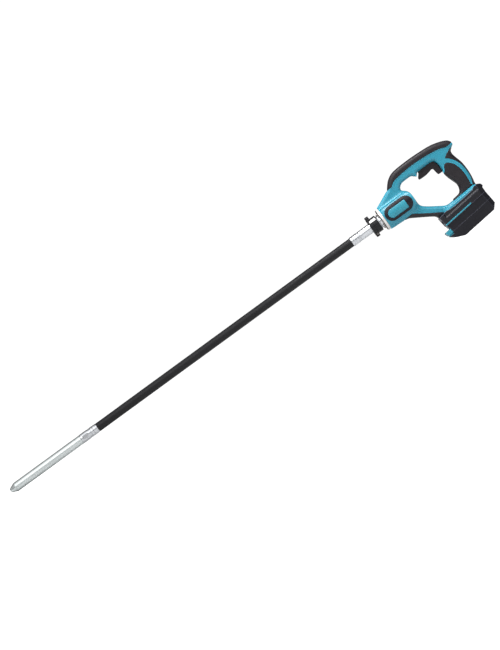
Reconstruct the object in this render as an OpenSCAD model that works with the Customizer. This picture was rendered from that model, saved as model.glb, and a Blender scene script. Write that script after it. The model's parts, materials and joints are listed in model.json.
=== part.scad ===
// Cordless concrete vibrator: a battery drive unit with a D-shaped frame, a rubber hose
// with a spinning core, and a steel vibrating head.
//
// Everything is drawn in the drive frame first: X runs along the drive axis from the head
// towards the handle, Z is up, Y is across, and X = 0 is the front face of the flange.
// placed() then tilts it so that the tool stands on its head and its battery.

/* [Head] */
// Radius of the vibrating head
head_r = 12; // [11:0.1:13]
// Length of the head tube
head_tube_len = 202; // [160:1:240]
// Length of the nose cone
nose_len = 19; // [14:1:24]
// Radius of the flat at the tip of the nose
nose_tip_r = 5; // [3:0.5:7]

/* [Hose] */
// Radius of the hose
hose_r = 11.5; // [11.3:0.1:12]
// Radius of the bore in the hose
hose_bore_r = 6.3; // [6:0.1:7]
// Length of one of the four hose sections
hose_section = 196.5; // [120:0.5:240]
// Largest bend between two sections, in degrees
hose_bend = 18; // [5:1:18]
// Radius of the spinning core
core_r = 4.2; // [3.5:0.1:4.5]

/* [Front end] */
// Radius of the coupling tube
tube_r = 12.7; // [12.5:0.1:13]
// Length of the hose ferrule at the coupling tube
ferrule_len = 20; // [16:1:24]
// Outer radius of the hanger collar
collar_r = 21.5; // [21:0.1:22.5]
// Radius of the neck
neck_r = 17.4; // [17:0.1:17.5]
// Radius of the flange
flange_r = 30; // [29:0.5:31]
// Thickness of the flange
flange_t = 8.5; // [8:0.1:9]
// Radius of the hole in the collar's ear for the shoulder strap
strap_eye_r = 2.4; // [2:0.1:2.6]

/* [Housing] */
// Radius of the motor barrel
barrel_r = 31.5; // [31:0.1:32]
// Half width of the frame without its rubber
frame_y = 15.5; // [14.5:0.1:16]
// Wall thickness of the housing
wall = 3; // [2:0.1:3.5]
// Thickness of the rubber where it wraps around an edge
skin = 2.5; // [1.5:0.1:3]
// Thickness of the rubber on the sides
pad_t = 2; // [1:0.1:2.5]
// Half width of the foot
foot_y = 38.9; // [38:0.1:40]

/* [Trigger] */
// Half width of the trigger
trigger_y = 7; // [5:0.5:9]
// How far the trigger slides
trigger_travel = 5; // [3:0.5:6]

/* [Battery] */
// Half width of the battery
battery_y = 37.5; // [36.5:0.1:38]
// How far the release button slides
button_travel = 3; // [2:0.1:3]
// Radius of one cell
cell_r = 9.1; // [8.8:0.1:9.2]
// Length of one cell
cell_len = 65; // [60:1:68]

/* [Hidden] */

// Facets for curves that the eye sees, and for the outlines' curved stretches
$fn = 64;
curve_steps = 4;
// Gap between fitted pieces, between sliding pieces, and between spinning ones
fit_gap = 0.1;
slide_gap = 0.3;
run_gap = 0.3;
// Larger than the whole tool, for cutting
big = 400;

LEFT = -1;
RIGHT = 1;

// Stations along the drive axis
hose_top = -92;
hose_end = hose_top - 4 * hose_section;
ferrule_top = hose_top + ferrule_len;
lower_ferrule_end = hose_end - 12;
connector_end = lower_ferrule_end - 38;
tube_end = connector_end - head_tube_len;
tip = tube_end - nose_len + 2;
barrel_end = 98;
function hinge_u(k) = hose_top - k * hose_section;

// The foot's own frame: its origin is in the plane where battery and foot meet
foot_u = 185;
foot_v = -100.7;
foot_slope = 6;
// A point of the foot's frame in the drive frame
function foot_point(p) = [foot_u + p[0] * cos(foot_slope) - p[1] * sin(foot_slope),
                          foot_v + p[0] * sin(foot_slope) + p[1] * cos(foot_slope)];

// The tool rests on the lower front edge of its battery and on the shoulder of its head
battery_toe = [-42, -48];
battery_heel = [65.5, -36];
rest = foot_point(battery_toe);
heel = foot_point(battery_heel);
tilt = atan((-head_r - rest[1]) / (rest[0] - tube_end));
// Both ends of the tool, to centre it over the origin
front_x = tip * cos(tilt) - nose_tip_r * sin(tilt);
rear_x = heel[0] * cos(tilt) - heel[1] * sin(tilt);
shift_x = -(front_x + rear_x) / 2;
shift_z = head_r * cos(tilt) - tube_end * sin(tilt);

// ---- Curves and outlines -------------------------------------------------------------

// A point of the smooth curve through b and c, whose neighbours are a and d
function curve_point(a, b, c, d, t) =
    b + t * (c - a) / 2
    + t * t * (2 * a - 5 * b + 4 * c - d) / 2
    + t * t * t * (3 * b - 3 * c + d - a) / 2;

// The smooth curve through a list of points
function curve(p, steps = curve_steps) = concat(
    [for (i = [0 : len(p) - 2], j = [0 : steps - 1])
        curve_point(p[max(i - 1, 0)], p[i], p[i + 1], p[min(i + 2, len(p) - 1)], j / steps)],
    [p[len(p) - 1]]
);

// Outer edge of the frame, seen from the left side
nose_top = [[8.8, 30], [14, 34], [30, 41], [48, 49.4], [55, 52]];
grip_top = [[55, 52], [65, 64.3], [75, 73.3], [90, 80.7], [110, 83.3], [145, 84.2],
            [180, 83], [210, 80], [235, 73], [250, 65.5], [256.5, 57]];
rear_edge = [[256.5, 50], [250, 45], [243.5, 40], [241, 32], [243, 20], [247, 5],
             [249, -10], [249, -30], [247, -47], [244.5, -58]];
foot_inside = [[244, -70], [121.5, -84], [121, -79.5], [119, -79]];
strut_under = [[118, -77], [115, -72], [108, -66.5], [90, -55], [72, -44], [60, -37],
               [48, -34], [30, -32.2], [8.8, -31]];
frame_outline = concat(curve(nose_top), curve(grip_top), curve(rear_edge),
                       foot_inside, curve(strut_under));

// Edge of the window that both hands reach through
window_top = [[84, 33], [87, 39.5], [95, 45], [108, 46.5], [124, 46], [131, 41], [136, 37]];
window_trigger = [[139.5, 41.5], [143, 44.5], [150, 45.5], [180, 45.5], [189, 44.4],
                  [194, 40.5], [196.8, 30], [197.5, 20], [197, 12], [195, 7]];
window_rear = [[195.3, 2], [197.5, -10], [202, -24], [205.5, -34], [206, -42], [203, -52],
               [196, -59], [177, -62]];
window_floor = [[175, -65], [160, -66], [150, -63], [130, -50], [110, -36], [101, -26.5],
                [98.5, -14], [98.5, 0], [97.6, 13], [93, 22], [85.5, 28]];
window_outline = concat(curve(window_top), curve(window_trigger), curve(window_rear),
                        curve(window_floor));

// The rear end of the barrel is domed in side view, below the window, and full across
barrel_dome = [[78, barrel_r], [83, 29.7], [88, 26.6], [93, 21.8], [96.4, 15], [98.2, 7],
               [barrel_end + 0.5, 0]];
barrel_side = let (dome = curve(barrel_dome)) concat(
    [[0, barrel_r + 1], [78, barrel_r + 1]], dome,
    [for (i = [len(dome) - 2 : -1 : 0]) [dome[i][0], -dome[i][1]]],
    [[78, -barrel_r - 1], [0, -barrel_r - 1]]
);

// Lower edge of the rubber on the top handle
grip_line = [[50, 51.3], [61, 52], [70, 53], [76, 57.8], [84, 61.5], [100, 64], [120, 66],
             [145, 67], [170, 66], [200, 63.5], [222, 59.3], [235, 54.3], [246, 53.6],
             [262, 55.5]];
// Rubber patch that narrows to a spine down the back
spine_front = [[219, 32.5], [226, 26.5], [233, 18], [238.5, 8], [242.5, -2], [245, -14],
               [245.5, -30], [244.5, -44], [240, -57]];
spine_top = [[254, 45.5], [244, 45], [235, 42], [225, 37], [219, 32.5]];
// Rubber pad on the side of the rear grip
pad_top = [[191, 0], [199, 7], [203, 14], [207, 19.5], [213, 21.3], [219, 19], [225, 13],
           [230, 6], [234, -5], [236.5, -18], [237, -32], [236, -44], [233.5, -56.5]];
pad_foot = [[236, -59], [210, -61], [178, -64], [174.5, -63.5], [174, -60]];
// Upper edge of the rubber under the strut
strip_line = [[46, -33.5], [55, -32.6], [66, -31.9], [75, -34], [90, -44], [110, -57],
              [126, -67], [138, -75]];
strip_foot = [[130, -77.6], [119, -79.6], [108, -80], [46, -55]];

// The trigger reaches up into the handle, where the window doesn't show it
trigger_front = [[138, 32], [137.2, 29.5], [139.5, 26.4], [150, 25.5], [160, 26], [170, 28],
                 [176.5, 29.4], [180, 27], [181, 20], [182, 14], [184.5, 10], [189, 8.8]];
trigger_back = [[193.5, 9.6], [196, 14], [197, 22], [196.6, 32], [194, 40], [190, 50],
                [150, 50], [144, 41]];
trigger_dir = [0.59, 0.807];

// Foot and battery outlines, in the foot's frame
deck_outline = [[-61.5, 17.6], [-61.5, 27.2], [-44, 28.8], [-40, 34], [-31, 39], [-21, 36.8],
                [-6, 36], [58, 32.5], [62, 28], [62, 17.6]];
shoulder_outline = [[-61.5, 17.6], [-61.5, 27.2], [-44, 28.8], [-38, 30.5], [-20, 31.5],
                    [50, 29.5], [62, 26], [62, 17.6]];
cover_outline = [[-64, 0.4], [-64, 27.2], [-44, 28.8], [-39, 29.6], [-32, 26.4], [-12, 24.7],
                 [28, 24.7], [46, 25.2], [51, 29], [62, 29], [68, 25], [70.7, 22.4],
                 [71.8, 18.3], [71.3, 15], [68, 13], [66.5, 0.4]];
upper_outline = [[-62.5, 0], [-62.5, -19.9], [66.2, -19.9], [66.2, 0]];
lower_outline = [[-74.4, -25.4], [-64.8, -34.6], [-56.3, -40.2], battery_toe, [-40, -48.3],
                 [52, -48.3], battery_heel, [66.2, -20.1], [-60.7, -20.1], [-60.7, -25.4]];
// The release button: its pad, and the narrower foot that slides between the case's cheeks
button_pad = [[-77.7, -13.2], [-75.5, -11.3], [-61, -11], [-61, -22], [-75.4, -22]];
button_foot = [[-70.9, -21], [-61, -21], [-61, -27], [-65.9, -27], [-70.9, -22.4]];
button_pocket = [[-71.3, -25], [-60.7, -25], [-60.7, -30.6], [-65.8, -30.6], [-71.3, -25.6]];
button_foot_y = 33.2;

// ---- Placing -------------------------------------------------------------------------

// The drive frame, tilted and moved to where the tool stands
module placed() {
    translate([shift_x, 0, shift_z]) rotate([0, -tilt, 0]) children();
}

// A flat shape in X and Z, from a to b mm out from the middle on one side
module layer(side, a, b) {
    translate([0, side == LEFT ? -a : b, 0])
        rotate([90, 0, 0])
            linear_extrude(b - a) children();
}

// The same, across both sides
module across(half_y) {
    translate([0, half_y, 0]) rotate([90, 0, 0]) linear_extrude(2 * half_y) children();
}

// A cylinder or a cone on the drive axis from u0 to u1
module turned(u0, u1, r, r_end = undef) {
    translate([u0, 0, 0])
        rotate([0, 90, 0])
            cylinder(r1 = r, r2 = is_undef(r_end) ? r : r_end, h = u1 - u0);
}

// A ring on the drive axis
module ring(u0, u1, r_out, r_in) {
    difference() {
        turned(u0, u1, r_out);
        turned(u0 - 1, u1 + 1, r_in);
    }
}

// A pin across the tool
module pin(u, v, r, y0, y1) {
    translate([u, y1, v]) rotate([90, 0, 0]) cylinder(r = r, h = y1 - y0);
}

// The foot's frame inside the drive frame
module foot_frame() {
    translate([foot_u, 0, foot_v]) rotate([0, -foot_slope, 0]) children();
}

// A box given by its two corners
module block(low, high) {
    translate(low) cube(high - low);
}

// One side of the middle plane
module side_half(side) {
    intersection() {
        children();
        block([-big * 4, side == LEFT ? -big : 0, -big], [big * 2, side == LEFT ? 0 : big, big]);
    }
}

// A round tube swept along points, with sides flat faces
module swept(path, r, sides = 8) {
    n = len(path);
    dirs = [for (i = [0 : n - 1])
        let (d = path[min(i + 1, n - 1)] - path[max(i - 1, 0)]) d / norm(d)];
    across_dir = [for (d = dirs) let (c = cross(d, abs(d[1]) > 0.9 ? [1, 0, 0] : [0, 1, 0]))
        c / norm(c)];
    rings = [for (i = [0 : n - 1], s = [0 : sides - 1])
        path[i] + r * (cos(360 * s / sides) * across_dir[i]
                       + sin(360 * s / sides) * cross(dirs[i], across_dir[i]))];
    skin_faces = [for (i = [0 : n - 2], s = [0 : sides - 1])
        let (a = i * sides + s, b = i * sides + (s + 1) % sides)
        for (face = [[a, b, b + sides], [a, b + sides, a + sides]]) face];
    first = [[for (s = [0 : sides - 1]) sides - 1 - s]];
    last = [[for (s = [0 : sides - 1]) (n - 1) * sides + s]];
    polyhedron(points = rings, faces = concat(skin_faces, first, last), convexity = 8);
}

// A coil spring standing on Z
module coil(r, wire_r, height, turns) {
    steps = turns * 14;
    swept([for (i = [0 : steps])
        [r * cos(360 * turns * i / steps), r * sin(360 * turns * i / steps),
         wire_r + (height - 2 * wire_r) * i / steps]], wire_r, 6);
}

// ---- Flat shapes of the frame ----------------------------------------------------------

module frame_2d() {
    difference() {
        polygon(frame_outline);
        polygon(window_outline);
    }
}

module top_zone() {
    polygon(concat(curve(grip_line), [[270, 100], [40, 100]]));
}

module spine_zone() {
    polygon(concat(curve(spine_top), curve(spine_front), [[262, -57], [262, 40]]));
}

module pad_zone() {
    polygon(concat(curve(pad_top), pad_foot));
}

module strip_zone() {
    polygon(concat(curve(strip_line), strip_foot));
}

// What the rubber takes off the edge of the plastic
module rubber_edge() {
    difference() {
        frame_2d();
        offset(delta = -skin) frame_2d();
    }
}

// The plastic frame, without the edges that rubber wraps around
module plastic_2d() {
    offset(delta = 0)
        difference() {
            frame_2d();
            intersection() {
                rubber_edge();
                union() {
                    top_zone();
                    spine_zone();
                    pad_zone();
                    strip_zone();
                }
            }
        }
}

// A rubber piece: its face on the side, and its wrap around the edge
module rubber(side) {
    layer(side, 0, frame_y)
        offset(delta = 0) intersection() { rubber_edge(); children(); }
    layer(side, frame_y, frame_y + pad_t)
        offset(delta = 0) intersection() { frame_2d(); children(); }
}

module trigger_2d() {
    polygon(concat(curve(trigger_front), curve(trigger_back, 2)));
}

// Everywhere that the trigger gets to
module trigger_path_2d() {
    offset(delta = slide_gap + 0.1)
        for (k = [0 : 5]) translate(trigger_dir * trigger_travel * k / 5) trigger_2d();
}

// ---- Housing ---------------------------------------------------------------------------

screw_places = [[44, 39], [102, 56], [209, 30], [230, 49], [108, -47], [165, -71], [226, -67]];
boss_r = 4.4;
screw_r = 1.9;
screw_head_r = 3.6;
screw_head_y = 7;

module bosses(side) {
    for (p = screw_places)
        pin(p[0], p[1], boss_r, side == LEFT ? -frame_y + 1 : 0, side == LEFT ? 0 : frame_y - 1);
}

// The motor barrel, or the room inside it: inset is the wall left around it
module barrel(u0, inset = 0) {
    intersection() {
        turned(u0, barrel_end - inset, barrel_r - inset);
        across(barrel_r + 1) offset(delta = -inset) polygon(barrel_side);
    }
}

module housing(side) {
    bearing_rib = barrel_end - 11;
    side_half(side) difference() {
        union() {
            difference() {
                union() {
                    layer(side, 0, frame_y) plastic_2d();
                    barrel(flange_t + fit_gap);
                    foot_frame() layer(side, 0, 24) polygon(deck_outline);
                    foot_frame() layer(side, 0, 33) polygon(shoulder_outline);
                }
                layer(side, 0, frame_y - wall)
                    offset(delta = -wall - skin) frame_2d();
                barrel(flange_t - 1, wall);
                foot_frame() block([-58, -30, 20], [58.5, 30, 27]);
                // Passage for the wires from the foot into the rear grip
                foot_frame() block([6, -6.5, 20], [34, 6.5, 36]);
            }
            bosses(side);
            intersection() {
                ring(bearing_rib, barrel_end - wall, barrel_r, 9.7);
                across(barrel_r + 1) polygon(barrel_side);
            }
        }
        layer(side, 0, trigger_y + slide_gap) trigger_path_2d();
        for (p = screw_places) {
            pin(p[0], p[1], screw_r + fit_gap, -frame_y + 3, frame_y);
            pin(p[0], p[1], screw_head_r + fit_gap, screw_head_y, foot_y + 1);
        }
    }
}

module housing_left() {
    color([0.18, 0.55, 0.66]) placed() housing(LEFT);
}

module housing_right() {
    color([0.18, 0.55, 0.66]) placed() housing(RIGHT);
}

module top_grip(side) {
    color([0.24, 0.22, 0.26]) placed() rubber(side) top_zone();
}

module side_grip(side) {
    color([0.16, 0.15, 0.18]) placed() difference() {
        rubber(side) pad_zone();
        layer(side, -1, trigger_y + slide_gap) trigger_path_2d();
    }
}

module rear_spine() {
    color([0.2, 0.18, 0.21]) placed() {
        across(frame_y) offset(delta = 0) intersection() { rubber_edge(); spine_zone(); }
        for (side = [LEFT, RIGHT])
            layer(side, frame_y, frame_y + pad_t)
                offset(delta = 0) intersection() { frame_2d(); spine_zone(); }
    }
}

module strut_strip(side) {
    color([0.16, 0.15, 0.18]) placed() rubber(side) strip_zone();
}

// The black skirt of the foot, with the rail that the battery hangs on
rail_in = 25.5;
rail_top = 4.9;
deck_y = 33.2;
ceiling_z = 17.4;

module foot_cover(side) {
    color([0.13, 0.13, 0.16]) placed() foot_frame() {
        difference() {
            layer(side, deck_y, foot_y) polygon(cover_outline);
            layer(side, foot_y - 1.2, foot_y + 1) polygon(stripe_outline(0.2));
        }
        layer(side, 30.6, deck_y) polygon([[-64, 0.4], [-64, ceiling_z], [64, ceiling_z], [64, 0.4]]);
        layer(side, rail_in, 30.6) polygon([[-64, 0.4], [-64, rail_top], [63, rail_top], [63, 0.4]]);
        layer(side, 0, deck_y) polygon([[-64, 17.6], [-64, 27.2], [-61.7, 27.2], [-61.7, 17.6]]);
        layer(side, 0, deck_y)
            polygon([[63, 0.4], [63, 26], [68, 25], [70.7, 22.4], [71.8, 18.3], [71.3, 15],
                     [68, 13], [66.5, 0.4]]);
    }
}

// The inlaid line along the foot, with a round rear end
function stripe_outline(gap) = concat(
    [[-66, 0.9 - gap], [-64 - gap, 4.2 + gap], [19, 4.2 + gap]],
    [for (a = [60 : -30 : -60]) [19 + (1.65 + gap) * cos(a), 2.55 + (1.65 + gap) * sin(a)]],
    [[19, 0.9 - gap]]
);

module accent_stripe(side) {
    color([0.25, 0.62, 0.66]) placed() foot_frame()
        layer(side, foot_y - 1.1, foot_y) intersection() {
            polygon(stripe_outline(0));
            translate([-63.9, 0]) square([100, 10]);
        }
}

// The badge on the motor barrel: a dark stadium around a plain plate
badge_u = [32, 72];
badge_v = -0.5;
badge_end_r = 20;
badge_t = 1.2;
plate_u = 32.5;
plate_r = 11.5;
plate_t = 0.8;

module stadium(r) {
    hull()
        for (u = badge_u) translate([u, badge_v]) circle(r);
}

module plate_2d(gap) {
    offset(delta = gap) union() {
        translate([plate_u, badge_v - 1]) circle(plate_r);
        translate([plate_u, badge_v - 1 - plate_r]) square([42, 2 * plate_r]);
    }
}

module barrel_skin(side, t) {
    intersection() {
        ring(5, barrel_end + 5, barrel_r + t, barrel_r + fit_gap / 2);
        layer(side, 5, barrel_r + t + 1) children();
    }
}

module badge_ring(side) {
    color([0.14, 0.14, 0.17]) placed() barrel_skin(side, badge_t) difference() {
        stadium(badge_end_r);
        plate_2d(0.15);
    }
}

module name_plate(side) {
    color([0.22, 0.6, 0.7]) placed() barrel_skin(side, plate_t) plate_2d(0);
}

module housing_screws() {
    color("dimgray") placed()
        for (p = screw_places) difference() {
            union() {
                pin(p[0], p[1], screw_head_r, screw_head_y + fit_gap, screw_head_y + 3);
                pin(p[0], p[1], screw_r, -9, screw_head_y + 1);
            }
            pin(p[0], p[1], 1.4, screw_head_y + 1.4, screw_head_y + 4);
        }
}

// ---- Front end --------------------------------------------------------------------------

bearing_in = 4;
bearing_out = 11;
flange_screw_at = 17.5;
neck_front = -30;

module front_flange() {
    color([0.86, 0.85, 0.84]) placed() difference() {
        turned(0, flange_t, flange_r);
        turned(-1, flange_t + 1, 6);
        turned(1.5, flange_t + 1, bearing_out + 0.05);
        for (y = [-1, 1], z = [-1, 1])
            translate([0, y * flange_screw_at, z * flange_screw_at]) turned(-1, flange_t + 1, 2.1);
    }
}

module flange_screws() {
    color("silver") placed()
        for (y = [-1, 1], z = [-1, 1])
            translate([0, y * flange_screw_at, z * flange_screw_at]) difference() {
                union() {
                    turned(-3.2, 0, 3.5);
                    turned(-1, flange_t - 0.5, 2);
                }
                turned(-4, -1.4, 1.5);
            }
}

module neck() {
    color([0.72, 0.73, 0.74]) placed() difference() {
        turned(neck_front, 0, neck_r);
        turned(neck_front - 1, -12, tube_r + 0.05);
        turned(-13, 1, 6);
        // Flats that leave room for the flange screws
        for (y = [-1, 1], z = [-1, 1])
            translate([0, y * flange_screw_at, z * flange_screw_at]) turned(-4, 1, 4);
    }
}

module hanger_collar() {
    ear_top = 30;
    ear_bottom = -28;
    ear_r = 6;
    color([0.1, 0.1, 0.12]) placed() difference() {
        union() {
            turned(neck_front, -8, collar_r);
            translate([-32, 0, 0]) rotate([0, 90, 0]) linear_extrude(9.5)
                union() {
                    circle(collar_r + 1);
                    translate([ear_r - ear_top, 0]) circle(ear_r);
                    translate([ear_r - ear_top, -ear_r]) square(2 * ear_r);
                    translate([-ear_bottom - 12, -8]) square([12, 16]);
                }
        }
        turned(neck_front - 0.1, -7, neck_r + fit_gap);
        turned(-33, neck_front, tube_r + fit_gap);
        translate([0, 0, ear_top - 5]) turned(-33, -22, strap_eye_r);
        pin(-26.5, -22, 2.6, -9, 9);
        for (y = [-13, 8]) pin(-26.5, -22, 3.5, y, y + 5);
        // Slot for the clamp, and the openings on both sides
        block([-33, -0.8, -big], [-7, 0.8, -neck_r + 2]);
        block([-28.5, -collar_r - 2, 10], [-10.5, collar_r + 2, 16.5]);
    }
}

module collar_bolt() {
    color("silver") placed() difference() {
        union() {
            pin(-26.5, -22, 2.4, -8, 8);
            pin(-26.5, -22, 3.2, -11, -8);
            pin(-26.5, -22, 3.2, 8, 10);
        }
        pin(-26.5, -22, 1.3, -12, -9.5);
    }
}

module coupling_tube() {
    color([0.75, 0.76, 0.78]) placed() difference() {
        turned(ferrule_top, -12.1, tube_r);
        turned(ferrule_top - 1, -11, 8);
        for (u = [ferrule_top + 3, ferrule_top + 5.5]) ring(u, u + 1.2, tube_r + 1, tube_r - 0.5);
    }
}

module upper_ferrule() {
    socket_end = hose_top + 14;
    color([0.78, 0.79, 0.8]) placed() difference() {
        turned(hose_top, ferrule_top, tube_r + 0.3);
        turned(hose_top - 1, socket_end, hose_r + 0.05);
        turned(socket_end - 1, ferrule_top + 1, 8);
        for (u = [hose_top + 5, hose_top + 12]) ring(u, u + 2, tube_r + 2, tube_r - 0.3);
    }
}

// ---- Hose and core ------------------------------------------------------------------------

// Each joint of the hose is a ball on the upper section in a cup on the lower one
ball_r = hose_r - 0.5;
cup_r = ball_r + run_gap;
cup_rim = 1.5;
flare = 1 / 3;

module hose(k) {
    top = k == 1 ? hose_top + 13.9 : hinge_u(k - 1) - cup_rim;
    bottom = k == 4 ? hose_end + 0.1 : hinge_u(k) + 5;
    difference() {
        union() {
            turned(bottom, top, hose_r);
            if (k < 4) {
                turned(hinge_u(k), bottom + 1, ball_r);
                intersection() {
                    translate([hinge_u(k), 0, 0]) sphere(ball_r);
                    turned(hinge_u(k) - 7.5, hinge_u(k) + 1, ball_r + 1);
                }
            }
            if (k == 4) turned(hose_end - 10.7, hose_end + 1, hose_r - 1.5);
        }
        turned(hinge_u(k) - 20, top + 20, hose_bore_r);
        if (k < 4) turned(hinge_u(k) - 9, hinge_u(k) + 3, hose_bore_r - 1 + 12 * flare, hose_bore_r - 1);
        if (k > 1) translate([hinge_u(k - 1), 0, 0]) sphere(cup_r);
    }
}

// The core is cut where the hose bends, and turns in every section
core_cut = 1.8;
core_top = -20;

module core(k) {
    top = k == 1 ? core_top : hinge_u(k - 1) - core_cut;
    bottom = k == 4 ? connector_end - 2 : hinge_u(k) + core_cut;
    turned(bottom, top, core_r);
}

module hose_1() { color([0.12, 0.12, 0.13]) placed() hose(1); }
module hose_2() { color([0.12, 0.12, 0.13]) placed() hose(2); }
module hose_3() { color([0.12, 0.12, 0.13]) placed() hose(3); }
module hose_4() { color([0.12, 0.12, 0.13]) placed() hose(4); }

module core_1() {
    color([0.5, 0.5, 0.52]) placed() difference() {
        union() {
            core(1);
            turned(-28, core_top, 5.5);
        }
        drive_square(-27.2, core_top + 1, 5.2);
    }
}

module core_2() { color([0.5, 0.5, 0.52]) placed() core(2); }
module core_3() { color([0.5, 0.5, 0.52]) placed() core(3); }
module core_4() { color([0.5, 0.5, 0.52]) placed() core(4); }

// A square drive end
module drive_square(u0, u1, side_len) {
    block([u0, -side_len / 2, -side_len / 2], [u1, side_len / 2, side_len / 2]);
}

// ---- Head ---------------------------------------------------------------------------------

module lower_ferrule() {
    color([0.74, 0.75, 0.76]) placed() difference() {
        turned(lower_ferrule_end, hose_end, head_r + 0.2);
        turned(lower_ferrule_end + 1.2, hose_end + 1, hose_r - 1.4);
        turned(lower_ferrule_end - 1, hose_end + 1, hose_bore_r);
        ring(hose_end - 4, hose_end - 3, head_r + 2, head_r - 0.3);
    }
}

module head_connector() {
    socket = 8;
    color([0.78, 0.79, 0.8]) placed() difference() {
        union() {
            turned(connector_end, lower_ferrule_end, head_r + 0.3);
            turned(connector_end - socket, connector_end + 1, head_r - 2.1);
        }
        turned(connector_end - socket - 1, lower_ferrule_end + 1, hose_bore_r);
        ring(lower_ferrule_end - 8, lower_ferrule_end - 6.5, head_r + 2, head_r - 0.8);
        ring(lower_ferrule_end - 14, lower_ferrule_end - 11, head_r + 2, head_r - 0.5);
        // Wrench flats
        for (s = [-1, 1])
            translate([connector_end + 6, s * (head_r + 1.2) - 1.6, -10]) cube([15, 3.2, 20]);
    }
}

module head_tube() {
    color([0.76, 0.78, 0.8]) placed() difference() {
        turned(tube_end, connector_end, head_r);
        turned(tube_end - 1, connector_end + 1, head_r - 2);
        ring(connector_end - 14.5, connector_end - 13.5, head_r + 1, head_r - 0.4);
    }
}

module nose_cap() {
    color([0.7, 0.72, 0.74]) placed() {
        turned(tube_end - 2, tube_end, head_r - 0.6, head_r);
        turned(tip, tube_end - 2, nose_tip_r, head_r - 0.6);
        turned(tube_end - 0.5, tube_end + 9, head_r - 2.05);
    }
}

rotor_front = tube_end + 12;
rotor_back = connector_end - 10;

module eccentric_rotor() {
    color([0.55, 0.55, 0.57]) placed() {
        turned(rotor_front, rotor_back + 7.9, 3.4);
        intersection() {
            turned(rotor_front + 10, rotor_back - 10, 8);
            block([rotor_front, -10, -10], [rotor_back, 10, 0]);
        }
    }
}

module head_bearings() {
    seat_r = head_r - 2.05;
    color([0.66, 0.67, 0.69]) placed()
        for (u = [rotor_front + 0.5, rotor_back - 7.5]) {
            ring(u, u + 7, seat_r, seat_r - 1.4);
            ring(u, u + 7, 4.9, 3.45);
            for (a = [0 : 60 : 300])
                translate([u + 3.5, 6.72 * cos(a), 6.72 * sin(a)]) sphere(1.78);
        }
}

module oil_seal() {
    color([0.2, 0.1, 0.08]) placed() ring(rotor_back + 0.2, rotor_back + 1.9, head_r - 2.05, 3.45);
}

// ---- Motor --------------------------------------------------------------------------------

can_u = [25, 71];
stack_u = [33, 63];
stack_r = 19.2;
shaft_r = 4;

module motor_can() {
    color([0.45, 0.46, 0.48]) placed() difference() {
        turned(can_u[0], can_u[1], 25.6);
        turned(can_u[0] + 1.6, can_u[1] + 1, 23.6);
        turned(can_u[0] - 1, can_u[0] + 2, 17.5);
    }
}

module magnets() {
    color([0.3, 0.3, 0.31]) placed() difference() {
        ring(stack_u[0] - 2, stack_u[1] + 2, 23.5, 20.2);
        for (s = [-1, 1])
            block([0, s * 17 - 11, -15], [barrel_end, s * 17 + 11, 15]);
    }
}

module armature() {
    slots = 12;
    color([0.5, 0.5, 0.52]) placed() difference() {
        turned(stack_u[0], stack_u[1], stack_r);
        turned(stack_u[0] - 1, stack_u[1] + 1, shaft_r + 0.05);
        for (a = [0 : 360 / slots : 359])
            rotate([a, 0, 0]) block([stack_u[0] - 1, -1.6, 10], [stack_u[1] + 1, 1.6, stack_r + 1]);
    }
}

module armature_windings() {
    slots = 12;
    color([0.72, 0.4, 0.18]) placed() {
        ring(stack_u[0] - 5, stack_u[0], 16.5, shaft_r + 0.5);
        ring(stack_u[1], stack_u[1] + 6, 16.5, shaft_r + 0.5);
        for (a = [0 : 360 / slots : 359])
            rotate([a, 0, 0])
                block([stack_u[0] - 0.5, -1.5, 10.4], [stack_u[1] + 0.5, 1.5, 16]);
    }
}

module commutator() {
    bars = 24;
    color([0.75, 0.5, 0.28]) placed() difference() {
        ring(stack_u[1] + 8, stack_u[1] + 19, 11, shaft_r + 0.05);
        for (a = [0 : 360 / bars : 359])
            rotate([a, 0, 0]) block([stack_u[1] + 10, -0.2, 9.8], [stack_u[1] + 20, 0.2, 12]);
    }
}

module motor_shaft() {
    color([0.7, 0.7, 0.72]) placed() {
        turned(-19.4, barrel_end - 4, shaft_r);
        drive_square(-26, -19, 5);
    }
}

module fan() {
    blades = 16;
    color([0.12, 0.12, 0.12]) placed() {
        ring(12.5, 14, 25, shaft_r + 0.05);
        ring(13.5, 20, 7, shaft_r + 0.05);
        for (a = [0 : 360 / blades : 359])
            rotate([a, 0, 0]) block([13.5, -0.6, 13], [21, 0.6, 24.6]);
    }
}

module motor_bearings() {
    rear_u = barrel_end - 10.8;
    color([0.66, 0.67, 0.69]) placed() {
        difference() {
            ring(1.6, flange_t - 0.2, bearing_out, shaft_r + 0.05);
            ring(1, 2.4, 8.8, 6.2);
        }
        difference() {
            ring(rear_u, barrel_end - 4.2, 9.6, shaft_r + 0.05);
            ring(rear_u - 1, rear_u + 0.6, 7.8, 5.8);
        }
    }
}

brush_u = [stack_u[1] + 11, stack_u[1] + 17];

module brush_holder() {
    color([0.35, 0.24, 0.12]) placed() difference() {
        union() {
            ring(brush_u[0] - 1.5, brush_u[1] + 1.5, 26.2, 21);
            for (s = [-1, 1])
                block([brush_u[0] - 1.5, -5.2, s * 18.5 - 6], [brush_u[1] + 1.5, 5.2, s * 18.5 + 6]);
        }
        for (s = [-1, 1])
            block([brush_u[0] - 0.2, -3.7, s * 18.5 - 8], [brush_u[1] + 0.2, 3.7, s * 18.5 + 8]);
    }
}

module carbon_brushes() {
    color([0.18, 0.18, 0.18]) placed()
        for (s = [-1, 1])
            block([brush_u[0], -3.5, s * 17.2 - 6], [brush_u[1], 3.5, s * 17.2 + 6]);
}

// ---- Switch, trigger and wires --------------------------------------------------------------

switch_low = [152, -9, 57];
switch_high = [190, 9, 71];
spring_foot = [166, 50];
spring_pocket = 11;

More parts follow.
